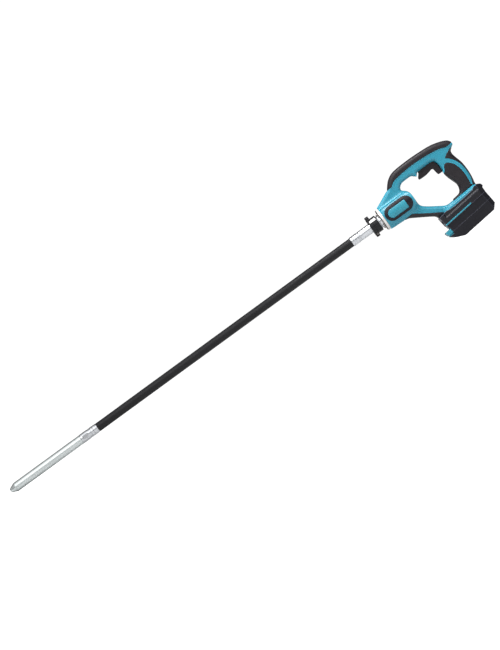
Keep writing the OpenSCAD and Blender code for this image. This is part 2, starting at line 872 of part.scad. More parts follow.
module switch_body() {
    color([0.2, 0.2, 0.21]) placed() {
        block(switch_low, switch_high);
        for (u = [158, 184]) pin(u, 74, 2, -6, 6);
        block([156, -3, 70], [160, 3, 75]);
        block([182, -3, 70], [186, 3, 75]);
    }
}

// Along the way the trigger slides, standing on its top face
module trigger_axis() {
    translate([spring_foot[0], 0, spring_foot[1]])
        rotate([0, atan2(trigger_dir[0], trigger_dir[1]), 0]) children();
}

module trigger() {
    color([0.2, 0.16, 0.19]) placed() difference() {
        across(trigger_y) trigger_2d();
        trigger_axis() translate([0, 0, -spring_pocket]) cylinder(r = 3.6, h = spring_pocket + 5);
    }
}

module trigger_spring() {
    free_len = spring_pocket - trigger_travel - 0.5 + 6;
    color("silver") placed() trigger_axis()
        translate([0, 0, -spring_pocket + trigger_travel + 0.5]) coil(2.6, 0.5, free_len, 6);
}

blade_x = [2, 20];
blade_y = 12;

module terminal_block() {
    color([0.55, 0.36, 0.14]) placed() foot_frame() {
        block([-4, -22, 10.6], [34, 22, 17.4]);
        for (s = [-1, 1])
            block([blade_x[0], s * blade_y - 0.5, 5], [blade_x[1], s * blade_y + 0.5, 11]);
    }
}

// Routes of the wires, chosen by hand in the drive frame
power_route = [[196, 0, -77], [203, 0, -70], [214, 0, -60], [222, 0, -45], [224, 0, -20],
               [223, 0, 5], [220, 0, 30], [213, 0, 50], [204, 0, 61], [190.5, 0, 64]];
motor_route = [[151.5, 0, 64], [138, 0, 66], [120, 0, 67], [100, 0, 65], [86, 0, 58],
               [79, 0, 47], [77, 0, 36], [77, 0, 27.5]];
wire_r = 1.4;
wire_y = 4;

module leads() {
    color([0.7, 0.1, 0.1]) placed()
        for (side = [LEFT, RIGHT], route = [power_route, motor_route])
            translate([0, side * wire_y, 0]) swept(route, wire_r);
}

// ---- Battery ----------------------------------------------------------------------------------

rail_block_top = 10;
case_wall = 2.4;
tongue_y = 8;

module battery_case_upper() {
    color([0.13, 0.13, 0.16]) placed() foot_frame() difference() {
        union() {
            across(battery_y) polygon(upper_outline);
            block([-62.5, -rail_in + slide_gap, -1], [62, rail_in - slide_gap, 6]);
            block([-62.5, -30.2, rail_top + slide_gap], [62, 30.2, rail_block_top]);
        }
        block([-57.5, -battery_y + case_wall, -25], [66.2 - case_wall, battery_y - case_wall, -2.4]);
        block([-63, -battery_y - 1, -20], [-60.7, battery_y + 1, -8]);
        block([-63, -tongue_y - slide_gap, -12], [-60.7, tongue_y + slide_gap, 11]);
        for (s = [-1, 1])
            block([-2, s * blade_y - 1.6, 3.8], [63, s * blade_y + 1.6, 11]);
    }
}

module battery_case_lower() {
    color([0.13, 0.13, 0.16]) placed() foot_frame() difference() {
        across(battery_y) polygon(lower_outline);
        layer(LEFT, -battery_y + case_wall, battery_y - case_wall)
            polygon([[-57.5, -15], [-57.5, -35.5], [-49, -41], [-41, -45.8], [51, -45.8],
                     [63.5, -35], [63.8, -15]]);
        across(button_foot_y + slide_gap) polygon(button_pocket);
    }
}

module battery_cells() {
    columns = 5;
    color([0.2, 0.45, 0.3]) placed() foot_frame()
        for (i = [0 : columns - 1], z = [-12.3, -31.4])
            pin(-32 + i * 19, z, cell_r, -cell_len / 2, cell_len / 2);
}

module battery_button() {
    color([0.22, 0.58, 0.66]) placed() foot_frame() difference() {
        union() {
            across(battery_y - 1) polygon(button_pad);
            across(button_foot_y) polygon(button_foot);
            block([-62.4, -tongue_y, -12], [-61, tongue_y, 8]);
        }
        translate([-64.3, 0, -30]) cylinder(r = 2.3, h = 12);
    }
}

module button_spring() {
    color("silver") placed() foot_frame()
        translate([-64.3, 0, -30.4]) coil(1.5, 0.35, 8.7, 7);
}

module top_grip_left() { top_grip(LEFT); }
module top_grip_right() { top_grip(RIGHT); }
module side_grip_left() { side_grip(LEFT); }
module side_grip_right() { side_grip(RIGHT); }
module strut_strip_left() { strut_strip(LEFT); }
module strut_strip_right() { strut_strip(RIGHT); }
module foot_cover_left() { foot_cover(LEFT); }
module foot_cover_right() { foot_cover(RIGHT); }
module accent_stripe_left() { accent_stripe(LEFT); }
module accent_stripe_right() { accent_stripe(RIGHT); }
module badge_ring_left() { badge_ring(LEFT); }
module badge_ring_right() { badge_ring(RIGHT); }
module name_plate_left() { name_plate(LEFT); }
module name_plate_right() { name_plate(RIGHT); }

housing_left();
housing_right();
top_grip_left();
top_grip_right();
side_grip_left();
side_grip_right();
rear_spine();
strut_strip_left();
strut_strip_right();
foot_cover_left();
foot_cover_right();
accent_stripe_left();
accent_stripe_right();
badge_ring_left();
badge_ring_right();
name_plate_left();
name_plate_right();
housing_screws();
front_flange();
flange_screws();
hanger_collar();
collar_bolt();
neck();
coupling_tube();
upper_ferrule();
hose_1();
hose_2();
hose_3();
hose_4();
core_1();
core_2();
core_3();
core_4();
lower_ferrule();
head_connector();
head_tube();
nose_cap();
eccentric_rotor();
head_bearings();
oil_seal();
motor_can();
magnets();
armature();
armature_windings();
commutator();
motor_shaft();
fan();
motor_bearings();
brush_holder();
carbon_brushes();
switch_body();
trigger();
trigger_spring();
terminal_block();
leads();
battery_case_upper();
battery_case_lower();
battery_cells();
battery_button();
button_spring();
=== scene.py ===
"""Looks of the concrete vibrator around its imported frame.

Shapes are drawn in the drive frame, in millimetres: u runs along the drive axis towards the
handle, v is up, y is across, and u = 0 is the front face of the flange. The moulded pieces are
fields, negative inside, that net() turns into meshes. The turned pieces are lathe profiles.
"""

import json
import math

import bpy
import numpy as np
from mathutils import Matrix, Vector


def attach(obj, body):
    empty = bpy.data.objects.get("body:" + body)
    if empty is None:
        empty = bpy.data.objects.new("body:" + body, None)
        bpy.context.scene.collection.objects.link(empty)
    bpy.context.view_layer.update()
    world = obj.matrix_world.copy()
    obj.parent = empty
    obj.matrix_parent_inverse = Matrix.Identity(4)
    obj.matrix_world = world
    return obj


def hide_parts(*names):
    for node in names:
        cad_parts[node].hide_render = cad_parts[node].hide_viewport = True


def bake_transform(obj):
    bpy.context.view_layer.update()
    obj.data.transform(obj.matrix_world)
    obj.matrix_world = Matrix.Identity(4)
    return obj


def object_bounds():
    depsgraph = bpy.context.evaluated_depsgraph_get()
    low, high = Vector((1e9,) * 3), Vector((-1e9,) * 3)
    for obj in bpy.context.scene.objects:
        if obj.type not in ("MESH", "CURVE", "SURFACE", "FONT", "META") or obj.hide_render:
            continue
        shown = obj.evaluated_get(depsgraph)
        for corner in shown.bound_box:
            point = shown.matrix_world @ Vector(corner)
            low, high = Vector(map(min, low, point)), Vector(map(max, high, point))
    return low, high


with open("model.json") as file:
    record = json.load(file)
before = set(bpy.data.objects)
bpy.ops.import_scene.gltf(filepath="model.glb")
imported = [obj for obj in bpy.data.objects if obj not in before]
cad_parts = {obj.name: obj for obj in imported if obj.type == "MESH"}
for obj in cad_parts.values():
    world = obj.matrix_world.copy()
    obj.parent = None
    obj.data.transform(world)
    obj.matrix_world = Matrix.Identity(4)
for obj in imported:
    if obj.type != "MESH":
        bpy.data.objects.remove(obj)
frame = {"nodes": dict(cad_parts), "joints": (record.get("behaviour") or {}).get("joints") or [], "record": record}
cad_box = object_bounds()

# ---- The drive frame, from the joints that lie on its axis ----------------------------------
MM = 0.001
# Where the hose's first hinge is, and how far apart the hinges are
BEND_U = -288.5
SECTION = 196.5
joints = {j["name"]: j for j in frame["joints"]}
axis_u = Vector(joints["motor_spin"]["axis"]).normalized()
axis_v = Vector((-axis_u.z, 0, axis_u.x))
origin = Vector(joints["hose_bend_upper"]["pos_m"]) - axis_u * BEND_U * MM
TILT = math.atan2(axis_u.z, axis_u.x)


def row(p):
    """Points (u, v, y) in mm as points of the row frame in metres."""
    p = np.asarray(p, float)
    u, v, y = p[:, 0:1] * MM, p[:, 1:2] * MM, p[:, 2:3] * MM
    return np.array(origin) + u * np.array(axis_u) + v * np.array(axis_v) + y * np.array((0, 1, 0))


def at(u, v=0.0, y=0.0):
    return Vector(row([[u, v, y]])[0])


# The foot's own frame: x back along the foot, z up, its origin where battery and foot meet
FOOT = (185.0, -100.7)
SLOPE = math.radians(6)


def foot(u, v):
    du, dv = u - FOOT[0], v - FOOT[1]
    return (du * math.cos(SLOPE) + dv * math.sin(SLOPE),
            dv * math.cos(SLOPE) - du * math.sin(SLOPE))


# ---- Camera ---------------------------------------------------------------------------------
# Square on to the left side, rolled so that the head is at the lower left
VIEW_ROLL = math.radians(36.1)
AIM = (-419.2, -17.3)
DISTANCE = 9.028
right = axis_u * math.cos(VIEW_ROLL) - axis_v * math.sin(VIEW_ROLL)
up = axis_u * math.sin(VIEW_ROLL) + axis_v * math.cos(VIEW_ROLL)
back = Vector((0, -1, 0))
camera = bpy.data.objects.new("camera", bpy.data.cameras.new("camera"))
bpy.context.scene.collection.objects.link(camera)
camera.data.lens = 200
camera.data.sensor_width = 36
camera.data.clip_end = 100
turn = Matrix((right, up, back)).transposed().to_4x4()
camera.matrix_world = Matrix.Translation(at(*AIM) + back * DISTANCE) @ turn
bpy.context.scene.camera = camera

# ---- Materials ------------------------------------------------------------------------------


class Nodes:
    """Short names for building a node tree."""

    def __init__(self, name):
        self.mat = bpy.data.materials.new(name)
        self.mat.use_nodes = True
        self.tree = self.mat.node_tree
        self.bsdf = self.tree.nodes["Principled BSDF"]
        self.coord = self.add("ShaderNodeTexCoord").outputs["Object"]

    def add(self, kind, **values):
        node = self.tree.nodes.new(kind)
        for key, value in values.items():
            setattr(node, key, value)
        return node

    def link(self, a, b):
        self.tree.links.new(a, b)

    def drive(self, scale):
        """Coordinates in the drive frame, stretched by scale."""
        mapping = self.add("ShaderNodeMapping", vector_type="TEXTURE")
        mapping.inputs["Rotation"].default_value = (0, -TILT, 0)
        mapping.inputs["Scale"].default_value = [1 / s for s in scale]
        self.link(self.coord, mapping.inputs["Vector"])
        return mapping.outputs["Vector"]

    def noise(self, scale, detail=3.0, rough=0.55, vector=None):
        node = self.add("ShaderNodeTexNoise")
        node.inputs["Scale"].default_value = scale
        node.inputs["Detail"].default_value = detail
        node.inputs["Roughness"].default_value = rough
        self.link(vector or self.coord, node.inputs["Vector"])
        return node.outputs["Fac"]

    def cells(self, scale):
        node = self.add("ShaderNodeTexVoronoi")
        node.inputs["Scale"].default_value = scale
        self.link(self.coord, node.inputs["Vector"])
        return node.outputs["Distance"]

    def remap(self, value, low, high, from_low=0.3, from_high=0.7):
        node = self.add("ShaderNodeMapRange")
        self.link(value, node.inputs["Value"])
        for key, number in (("From Min", from_low), ("From Max", from_high),
                            ("To Min", low), ("To Max", high)):
            node.inputs[key].default_value = number
        return node.outputs["Result"]

    def mix(self, fac, a, b):
        """Colour a at 0 and b at 1. Sockets 6 and 7 of the node are its two colours."""
        node = self.add("ShaderNodeMix", data_type="RGBA")
        self.link(fac, node.inputs["Factor"])
        for socket, value in ((node.inputs[6], a), (node.inputs[7], b)):
            if isinstance(value, (tuple, list)):
                socket.default_value = (*value, 1)
            else:
                self.link(value, socket)
        return node.outputs[2]

    def bump(self, height, strength, distance, normal=None):
        node = self.add("ShaderNodeBump")
        node.inputs["Strength"].default_value = strength
        node.inputs["Distance"].default_value = distance
        self.link(height, node.inputs["Height"])
        if normal:
            self.link(normal, node.inputs["Normal"])
        return node.outputs["Normal"]

    def edges(self, low=0.515, high=0.545):
        """1 along convex edges."""
        return self.remap(self.add("ShaderNodeNewGeometry").outputs["Pointiness"], 0, 1, low, high)


def shade(rgb, k):
    return tuple(min(1.0, c * k) for c in rgb)


def moulded(name, rgb, rough, grain=1500, depth=0.00006, wear_and_sheen=0.25, spec=0.5, lighten=1.9):
    """Moulded plastic or rubber: fine grain, soft mottling, convex edges painted lighter.

    The lighter edge is partly rubbed wear and partly a painted highlight. The sixth argument is how much of it
    shows on an edge, and the last how much lighter it is.
    """
    n = Nodes(name)
    broad = n.noise(22, 2)
    body = n.mix(broad, shade(rgb, 0.93), shade(rgb, 1.07))
    speck = n.mix(n.remap(n.noise(900, 2), 0, 0.2, 0.55, 0.7), body, shade(rgb, 1.3))
    # Convex edges painted lighter: partly rubbed wear, partly a painted highlight along edges and ridges
    rubbed_and_highlit = n.mix(n.remap(n.edges(), 0, wear_and_sheen, 0, 1), speck, shade(rgb, lighten))
    n.link(rubbed_and_highlit, n.bsdf.inputs["Base Color"])
    n.link(n.remap(n.noise(55, 4), rough - 0.06, rough + 0.08), n.bsdf.inputs["Roughness"])
    fine = n.bump(n.cells(grain), 0.15, depth)
    n.link(n.bump(n.noise(grain * 0.4, 2), 0.12, depth, fine), n.bsdf.inputs["Normal"])
    n.bsdf.inputs["Specular IOR Level"].default_value = spec
    return n.mat


def turned_metal(name, rgb, rough, lines=2600, depth=0.000004, stain=0.12):
    """Steel off a lathe: fine rings round the axis, slight stains, brighter edges."""
    n = Nodes(name)
    rings = n.noise(1, 3, 0.6, n.drive((lines, 30, 30)))
    patches = n.noise(1, 4, 0.6, n.drive((25, 60, 60)))
    base = n.mix(n.remap(patches, 0, 1), shade(rgb, 1 - stain), shade(rgb, 1 + stain * 0.4))
    line = n.mix(n.remap(rings, 0, 0.3), base, shade(rgb, 0.85))
    n.link(n.mix(n.remap(n.edges(0.52, 0.6), 0, 0.4, 0, 1), line, shade(rgb, 1.25)),
           n.bsdf.inputs["Base Color"])
    n.link(n.remap(rings, rough - 0.02, rough + 0.05), n.bsdf.inputs["Roughness"])
    n.link(n.bump(rings, 0.08, depth), n.bsdf.inputs["Normal"])
    n.bsdf.inputs["Metallic"].default_value = 1
    return n.mat


def cast_metal(name, rgb, rough, metallic=0.85):
    """Blasted casting: pebbled, with soft dark pits."""
    n = Nodes(name)
    pits = n.noise(700, 4, 0.65)
    n.link(n.mix(n.remap(pits, 0, 1), shade(rgb, 0.86), shade(rgb, 1.05)),
           n.bsdf.inputs["Base Color"])
    n.link(n.remap(n.noise(90, 3), rough - 0.07, rough + 0.07), n.bsdf.inputs["Roughness"])
    n.link(n.bump(pits, 0.5, 0.00009), n.bsdf.inputs["Normal"])
    n.bsdf.inputs["Metallic"].default_value = metallic
    return n.mat


def wrapped_rubber(name, rgb, rough, pitch=0.0042):
    """Hose rubber cured in a cloth wrap: faint bands round it, and a weave print."""
    n = Nodes(name)
    bands = n.add("ShaderNodeTexWave", wave_type="BANDS", bands_direction="X")
    bands.inputs["Scale"].default_value = math.pi / 10 / pitch
    bands.inputs["Distortion"].default_value = 0.6
    bands.inputs["Detail"].default_value = 2
    n.link(n.drive((1, 1, 1)), bands.inputs["Vector"])
    weave = n.noise(1500, 2, 0.5)
    tone = n.mix(n.noise(35, 4), shade(rgb, 0.8), shade(rgb, 1.3))
    dust = n.mix(n.remap(n.noise(420, 4, 0.7), 0, 0.35, 0.55, 0.75), tone, shade(rgb, 2.6))
    n.link(dust, n.bsdf.inputs["Base Color"])
    n.link(n.remap(n.noise(80, 3), rough - 0.08, rough + 0.1), n.bsdf.inputs["Roughness"])
    print_ = n.bump(weave, 0.2, 0.00004)
    n.link(n.bump(bands.outputs["Fac"], 0.4, 0.00012, print_), n.bsdf.inputs["Normal"])
    n.bsdf.inputs["Specular IOR Level"].default_value = 0.3
    return n.mat


def wound_wire(name, rgb, rough, lines):
    """Wire or sheet laid side by side along the axis."""
    n = Nodes(name)
    rings = n.noise(1, 2, 0.4, n.drive((lines, 8, 8)))
    n.link(n.mix(n.remap(rings, 0, 1), shade(rgb, 0.6), shade(rgb, 1.2)),
           n.bsdf.inputs["Base Color"])
    n.link(n.remap(rings, rough, rough + 0.15), n.bsdf.inputs["Roughness"])
    n.link(n.bump(rings, 0.6, 0.0002), n.bsdf.inputs["Normal"])
    n.bsdf.inputs["Metallic"].default_value = 0.8
    return n.mat


TEAL = (0.028, 0.262, 0.365)
BLACK = (0.0075, 0.0075, 0.0115)
MATERIALS = {
    # The teal, black and battery plastics have strongly lightened edges: mostly a painted highlight on their
    # edges, ridges and creases
    "teal_plastic": moulded("teal_plastic", TEAL, 0.26, 1300, 0.0000015, 1, 0.5, 2.8),
    "grip_rubber": moulded("grip_rubber", (0.013, 0.0105, 0.0135),
                           0.4, 1000, 0.00001, 0.4, 0.4, 3),
    "black_plastic": moulded("black_plastic", BLACK, 0.32, 1400, 0.000003, 1, 0.45, 9),
    "battery_plastic": moulded("battery_plastic", BLACK, 0.38, 1200, 0.000004, 1, 0.3, 3.5),
    "teal_accent": moulded("teal_accent", (0.026, 0.27, 0.36), 0.3, 1800, 0.000003, 0.3),
    "badge_plastic": moulded("badge_plastic", (0.008, 0.006, 0.011),
                             0.36, 1800, 0.000003, 0.3, 0.3),
    "cast_aluminium": cast_metal("cast_aluminium", (0.8, 0.78, 0.76), 0.5, 0.4),
    "satin_steel": turned_metal("satin_steel", (0.72, 0.74, 0.77), 0.26),
    "worn_steel": turned_metal("worn_steel", (0.76, 0.81, 0.81), 0.35, 1900, 0.000004, 0.13),
    "screw_steel": turned_metal("screw_steel", (0.2, 0.19, 0.185), 0.33, 1500),
    "hose_rubber": wrapped_rubber("hose_rubber", (0.0075, 0.0075, 0.009), 0.46),
    "collar_plastic": moulded("collar_plastic", (0.008, 0.008, 0.01),
                              0.4, 1500, 0.00001, 0.4, 0.3),
    "bearing_steel": turned_metal("bearing_steel", (0.6, 0.6, 0.62), 0.15, 900, 0.00001),
    "dark_steel": cast_metal("dark_steel", (0.14, 0.125, 0.11), 0.4),
    "lamination_steel": wound_wire("lamination_steel", (0.3, 0.3, 0.31), 0.4, 2000),
    "magnet": cast_metal("magnet", (0.08, 0.08, 0.085), 0.6, 0.4),
    "copper": wound_wire("copper", (0.55, 0.24, 0.1), 0.3, 1400),
    "insulator": moulded("insulator", (0.2, 0.11, 0.04), 0.5),
    "carbon": cast_metal("carbon", (0.03, 0.03, 0.03), 0.5, 0.2),
    "switch_plastic": moulded("switch_plastic", (0.04, 0.04, 0.045), 0.5),
    "trigger_plastic": moulded("trigger_plastic", (0.012, 0.009, 0.0115),
                               0.36, 1500, 0.000006, 0.4, 0.35, 3),
    "spring_steel": turned_metal("spring_steel", (0.6, 0.6, 0.6), 0.25, 900),
    "wire_sleeve": moulded("wire_sleeve", (0.4, 0.02, 0.02), 0.4),
    "cell_sleeve": moulded("cell_sleeve", (0.05, 0.25, 0.12), 0.35),
    "seal_rubber": moulded("seal_rubber", (0.03, 0.015, 0.013), 0.6),
}
slot_of = {part["node"]: part["material_slot"] for part in frame["record"]["subparts"]}

# ---- Meshes ---------------------------------------------------------------------------------


def piece(name, points, faces, slot, body, *nodes):
    """A mesh from points (u, v, y) in mm, riding on body and standing for CAD nodes."""
    mesh = bpy.data.meshes.new(name)
    mesh.from_pydata(row(points).tolist(), [], [list(f) for f in faces])
    mesh.validate()
    mesh.polygons.foreach_set("use_smooth", [True] * len(mesh.polygons))
    obj = bpy.data.objects.new(name, mesh)
    bpy.context.scene.collection.objects.link(obj)
    mesh.materials.append(MATERIALS[slot])
    if body:
        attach(obj, body)
    if nodes:
        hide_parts(*nodes)
    return obj


PROBE = 0.02
SLACK_SLOPE = 0.3


def net(f, low, high, h):
    """The surface of the field f between two corners, as points and quads h apart."""
    axes = [np.arange(low[i] - 1.5 * h, high[i] + 2.5 * h, h) for i in range(3)]
    grid = f(axes[0][:, None, None], axes[1][None, :, None], axes[2][None, None, :])
    grid = np.broadcast_to(grid, [len(a) for a in axes])
    inside = grid < 0
    n = grid.shape
    corners = [(i, j, k) for i in (0, 1) for j in (0, 1) for k in (0, 1)]
    count = sum(inside[i:n[0] - 1 + i, j:n[1] - 1 + j, k:n[2] - 1 + k].astype(np.int8)
                for i, j, k in corners)
    active = (count > 0) & (count < 8)
    ids = np.full(active.shape, -1)
    ids[active] = np.arange(active.sum())
    cell = np.argwhere(active)
    value = {c: grid[tuple((cell + c).T)] for c in corners}
    place, crossings = np.zeros((len(cell), 3)), np.zeros(len(cell))
    for a in corners:
        for axis in range(3):
            if a[axis]:
                continue
            b = tuple(1 if i == axis else a[i] for i in range(3))
            crossing = (value[a] < 0) != (value[b] < 0)
            t = np.where(crossing, value[a] / (value[a] - value[b] + 1e-12), 0)
            p = np.tile(np.array(a, float), (len(cell), 1))
            p[:, axis] += t
            place += p * crossing[:, None]
            crossings += crossing
    points = np.array([a[0] for a in axes]) + (cell + place / crossings[:, None]) * h
    quads = []
    for axis in range(3):
        b, c = np.eye(3, dtype=int)[(axis + 1) % 3], np.eye(3, dtype=int)[(axis + 2) % 3]
        step = np.eye(3, dtype=int)[axis]
        here = inside[:n[0] - step[0], :n[1] - step[1], :n[2] - step[2]]
        there = inside[step[0]:, step[1]:, step[2]:]
        edge = np.argwhere(here != there)
        edge = edge[np.all(edge - b - c >= 0, axis=1)]
        edge = edge[np.all(edge < np.array(n) - 1, axis=1)]
        quad = np.stack([ids[tuple((edge - d).T)] for d in (0 * b, b, b + c, c)], axis=1)
        solid = inside[tuple(edge.T)]
        quads.append(np.where(solid[:, None], quad[:, ::-1], quad))
    quads = np.concatenate(quads)
    # Two steps along the slope bring the points onto the surface
    for _ in range(2):
        u, v, y = points.T
        d = f(u, v, y)
        slope = np.stack([(f(u + PROBE, v, y) - d), (f(u, v + PROBE, y) - d),
                          (f(u, v, y + PROBE) - d)], axis=1) / PROBE
        move = d / np.maximum((slope ** 2).sum(1), SLACK_SLOPE)
        points = points - slope * np.clip(move, -h / 2, h / 2)[:, None]
    return points, quads


def smooth_curve(points, steps=7):
    """A curve that passes through all the points."""
    p = [np.array(q, float) for q in points]
    out = []
    for i in range(len(p) - 1):
        a, b, c, d = p[max(i - 1, 0)], p[i], p[i + 1], p[min(i + 2, len(p) - 1)]
        for j in range(steps):
            t = j / steps
            out.append(b + t * (c - a) / 2 + t * t * (2 * a - 5 * b + 4 * c - d) / 2
                       + t ** 3 * (3 * b - 3 * c + d - a) / 2)
    return out + [p[-1]]


def outline(points):
    """Signed distance to a closed outline, negative inside it."""
    ring = np.array(points, float)
    nxt = np.roll(ring, -1, axis=0)
    keep = np.hypot(*(nxt - ring).T) > 1e-6
    pairs = list(zip(ring[keep], nxt[keep]))

    def f(u, v):
        u, v = np.broadcast_arrays(np.asarray(u, np.float32), np.asarray(v, np.float32))
        best = np.full(u.shape, np.inf, np.float32)
        inside = np.zeros(u.shape, bool)
        for a, b in pairs:
            e = b - a
            du, dv = u - a[0], v - a[1]
            t = np.clip((du * e[0] + dv * e[1]) / (e @ e), 0, 1)
            best = np.minimum(best, (du - t * e[0]) ** 2 + (dv - t * e[1]) ** 2)
            if a[1] != b[1]:
                inside ^= ((a[1] > v) != (b[1] > v)) & (u < e[0] * dv / e[1] + a[0])
        return np.where(inside, -1, 1) * np.sqrt(best)

    return f


def smin(a, b, k):
    """The union of two fields, with a fillet of about k."""
    t = np.clip(0.5 + 0.5 * (b - a) / k, 0, 1)
    return b + (a - b) * t - k * t * (1 - t)


def smax(a, b, k):
    """What two fields share, its edge rounded by about k."""
    return -smin(-a, -b, k)


def rounded(d, y, half, r):
    """An outline's distance d carried to half on each side of the middle, edges of radius r."""
    a, b = d + r, np.abs(y) - half + r
    return np.hypot(np.maximum(a, 0), np.maximum(b, 0)) + np.minimum(np.maximum(a, b), 0) - r


def drum(u, v, y, u0, u1, radius, r):
    """A cylinder on the drive axis, edges of radius r."""
    a, b = np.hypot(v, y) - radius + r, np.abs(u - (u0 + u1) / 2) - (u1 - u0) / 2 + r
    return np.hypot(np.maximum(a, 0), np.maximum(b, 0)) + np.minimum(np.maximum(a, b), 0) - r


def brick(x, y, z, low, high, r=0.0):
    """A box between two corners, edges of radius r."""
    q = [np.abs(c - (a + b) / 2) - (b - a) / 2 + r for c, a, b in zip((x, y, z), low, high)]
    out = np.sqrt(sum(np.maximum(c, 0) ** 2 for c in q))
    return out + np.minimum(np.maximum(np.maximum(q[0], q[1]), q[2]), 0) - r


def soften(profile, r=0.5, steps=3):
    """A lathe profile with its corners rounded, and rings beside them that keep it crisp."""
    p = [np.array(q, float) for q in profile]
    out = [p[0]]
    for a, b, c in zip(p, p[1:], p[2:]):
        la, lc = np.linalg.norm(a - b), np.linalg.norm(c - b)
        k = min(r, la * 0.45, lc * 0.45)
        start, end = b + (a - b) / la * k, b + (c - b) / lc * k
        if la > 6 * r:
            out.append(b + (a - b) / la * k * 2)
        for j in range(steps + 1):
            t = j / steps
            out.append((1 - t) ** 2 * start + 2 * t * (1 - t) * b + t * t * end)
        if lc > 6 * r:
            out.append(b + (c - b) / lc * k * 2)
    return out + [p[-1]]


def lathe(profile, closed=True, seg=96, reach=None, shape=None):
    """A profile of (u, r) turned round the drive axis. closed joins its two ends."""
    p = np.array(profile, float)
    if reach:
        finer = [p[0]]
        for a, b in zip(p, p[1:]):
            n = max(1, int(np.linalg.norm(b - a) / reach))
            finer += [a + (b - a) * (i + 1) / n for i in range(n)]
        p = np.array(finer)
    angle = 2 * np.pi * np.arange(seg) / seg
    points = np.stack([np.repeat(p[:, 0], seg), np.outer(p[:, 1], np.cos(angle)).ravel(),
                       np.outer(p[:, 1], np.sin(angle)).ravel()], axis=1)
    if shape is not None:
        points = shape(points)
    faces = []
    n = len(p)
    for i in range(n if closed else n - 1):
        for s in range(seg):
            t = (s + 1) % seg
            j = (i + 1) % n
            faces.append((i * seg + s, i * seg + t, j * seg + t, j * seg + s))
    if not closed:
        faces.append(tuple(reversed(range(seg))))
        faces.append(tuple((n - 1) * seg + s for s in range(seg)))
    return points, faces


COARSER = 1


def netted(name, f, low, high, h, slot, body, *nodes):
    points, faces = net(f, low, high, h * COARSER)
    return piece(name, points, faces, slot, body, *nodes)


def mirrored(points, faces):
    return points * np.array((1, 1, -1)), faces[:, ::-1]


def both_sides(name, f, low, high, h, slot, nodes):
    """A left piece for y below 0, and its mirror image on the right."""
    points, faces = net(f, low, high, h * COARSER)
    piece(name + "_left", points, faces, slot, "drive_unit", nodes + "_left")
    piece(name + "_right", *mirrored(points, faces), slot, "drive_unit", nodes + "_right")


# ---- Outlines of the frame, seen from the left ----------------------------------------------
NOSE_TOP = [(8.8, 30), (14, 34), (30, 41), (48, 49.4), (55, 52)]
GRIP_TOP = [(55, 52), (65, 64.3), (75, 73.3), (90, 80.7), (110, 83.3), (145, 84.15),
            (180, 82.93), (210, 79.93), (235, 73), (250, 65.5), (256.5, 57)]
REAR_EDGE = [(256.5, 50), (250, 45), (243.5, 40), (241, 32), (243, 20), (247, 5),
             (249, -10), (249, -30), (247, -47), (244.5, -58)]
FOOT_INSIDE = [(244, -70), (121.5, -84), (121, -79.5), (119, -79)]
STRUT_UNDER = [(118, -77), (115, -72), (108, -66.5), (90, -55), (72, -44), (60, -37),
               (48, -34), (30, -32.2), (8.8, -31)]
WINDOW_TOP = [(84, 33), (87, 39.5), (95, 45), (108, 46.5), (124, 46), (131, 41), (136, 37)]
WINDOW_TRIGGER = [(139.5, 41.5), (143, 44.5), (150, 45.5), (180, 45.5), (189, 44.4),
                  (194, 40.5), (196.8, 30), (197.5, 20), (197, 12), (195, 7)]
WINDOW_REAR = [(195.3, 2), (197.5, -10), (202, -24), (205.5, -34), (206, -42), (203, -52),
               (196, -59), (177, -62)]
WINDOW_FLOOR = [(175, -65), (160, -66), (150, -63), (130, -50), (110, -36), (101, -26.5),
                (98.5, -14), (98.5, 0), (97.6, 13), (93, 22), (85.5, 28)]
GRIP_LINE = [(50, 51.3), (61, 52), (70, 53), (76, 57.8), (84, 61.5), (100, 64), (120, 66),
             (145, 67), (170, 66), (200, 63.5), (222, 59.3), (235, 54.3), (246, 53.6),
             (262, 55.5)]
SPINE_FRONT = [(219, 32.5), (226, 26.5), (233, 18), (238.5, 8), (242.5, -2), (245, -14),
               (245.5, -30), (244, -44), (238, -58), (236, -63.5)]
SPINE_TOP = [(254, 45.5), (244, 45), (235, 42), (225, 37), (219, 32.5)]
PAD_TOP = [(191, 0), (199, 7), (203, 14), (207, 19.5), (213, 21.3), (219, 19), (225, 13),
           (230, 6), (234, -5), (236.5, -18), (237, -32), (236, -44), (233.5, -56.5)]
PAD_FOOT = [(237, -61.5), (210, -64), (178, -66.2), (174.8, -65.6), (174, -62)]
STRIP_LINE = [(46, -33.5), (55, -32.6), (66, -31.9), (75, -34), (90, -44), (110, -57),
              (126, -67), (138, -75)]
STRIP_FOOT = [(134, -80.4), (119, -83.6), (108, -80), (46, -55)]
TRIGGER_FRONT = [(136.9, 32.4), (135.9, 29.6), (138.2, 26.2), (150, 25.5), (160, 26), (170, 28),
                 (176.5, 29.4), (180, 27), (181, 20), (182, 14), (183.8, 9.6), (189, 8.6)]
TRIGGER_BACK = [(195, 9), (196.6, 12), (197, 22), (196.6, 32), (194, 40), (190, 50),
                (150, 50), (144, 41)]
TRIGGER_DIR = (0.59, 0.807)
TRIGGER_TRAVEL = 5
SLOT_GAP, SLOT_Y = 0.5, 7.5
SCREW_WELL_R, SCREW_WELL_FLOOR = 4.1, 10.2
SCREWS = [(44, 39), (102, 56), (209, 30), (230, 49), (108, -47), (165, -71), (226, -67)]

